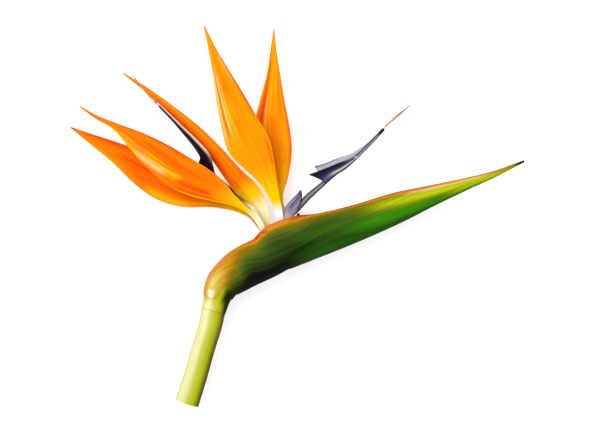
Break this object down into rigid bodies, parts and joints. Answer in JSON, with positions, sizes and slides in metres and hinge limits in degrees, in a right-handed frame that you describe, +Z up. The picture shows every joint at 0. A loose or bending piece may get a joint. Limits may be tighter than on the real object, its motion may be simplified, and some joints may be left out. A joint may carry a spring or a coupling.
{
  "type": "bird of paradise flower",
  "caption": "Cut bird of paradise flower lying on its side: a boat-shaped green spathe on a bent stem, with a crest of orange sepals and arrow-shaped blue petals.",
  "frame": {"origin": "under the middle of the flower's box, on the surface that it lies on", "axes": "+X along the spathe towards its tip, +Y up the crest of sepals, +Z up, across the flower"},
  "size_m": [0.2508, 0.2085, 0.0359],
  "materials": {
    "stem_skin": "smooth waxy yellow-green skin with a fine lengthwise grain and a brown flush along one side",
    "spathe_skin": "leathery dark green skin with fine lengthwise veins, olive and salmon at the neck, red along the margins",
    "ovary_flesh": "smooth cream flesh",
    "sepal_orange": "satin orange petal tissue with fine lengthwise veins, red edges and a pale yellow claw",
    "arrow_blue": "satin petal tissue, navy outside and lilac inside the far wing",
    "nectar_petal": "slate blue petal tissue with a white base",
    "stigma_tan": "dry tan, sticky at the tip",
    "bud_cream": "smooth pale yellow, folded shut",
    "bracteole_dark": "dry dark red"
  },
  "bodies": {
    "root": {"stem": "stem_skin", "spathe": "spathe_skin", "ovary_1": "ovary_flesh", "ovary_2": "ovary_flesh", "sepal_far_1": "sepal_orange", "sepal_near_1": "sepal_orange", "sepal_top_1": "sepal_orange", "sepal_far_2": "sepal_orange", "sepal_near_2": "sepal_orange", "sepal_top_2": "sepal_orange", "arrow_petals_1": "arrow_blue", "arrow_petals_2": "arrow_blue", "nectar_petal_1": "nectar_petal", "nectar_petal_2": "nectar_petal", "style_1": "stigma_tan", "style_2": "stigma_tan", "bud_3": "bud_cream", "bud_4": "bud_cream", "bracteole_2": "bracteole_dark"}
  },
  "joints": []
}
